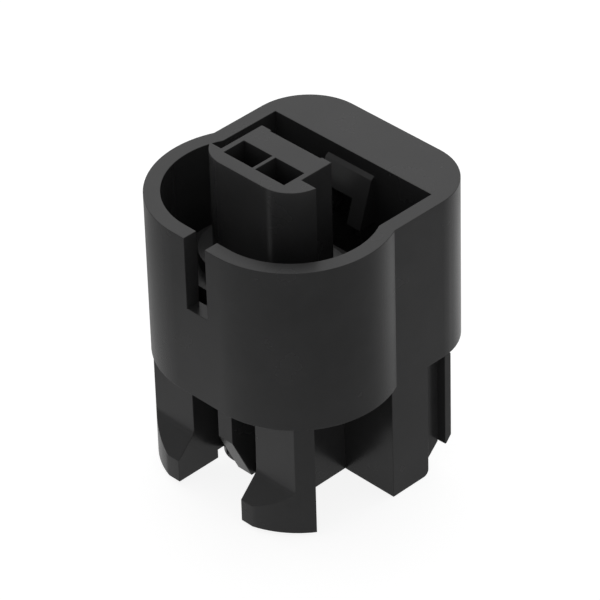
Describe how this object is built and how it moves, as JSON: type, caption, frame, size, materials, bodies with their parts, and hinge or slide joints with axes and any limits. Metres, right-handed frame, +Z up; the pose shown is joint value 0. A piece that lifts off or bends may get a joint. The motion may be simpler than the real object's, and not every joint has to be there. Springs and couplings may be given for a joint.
{
  "type": "connector housing",
  "caption": "One-piece black connector housing: deep round-and-square shell, keyed terminal tower, fixed catch, and legs below.",
  "frame": {"origin": "below the middle of the housing's outline, on the surface that it stands on", "axes": "+Z up, out of the mating mouth; +Y towards the thick squarish rear; +X to the right, along the row of terminal cavities"},
  "size_m": [0.0308, 0.032, 0.0424],
  "materials": {
    "black_plastic": "smooth moulded, semi-matt black"
  },
  "bodies": {
    "root": {"housing": "black_plastic"}
  },
  "joints": []
}
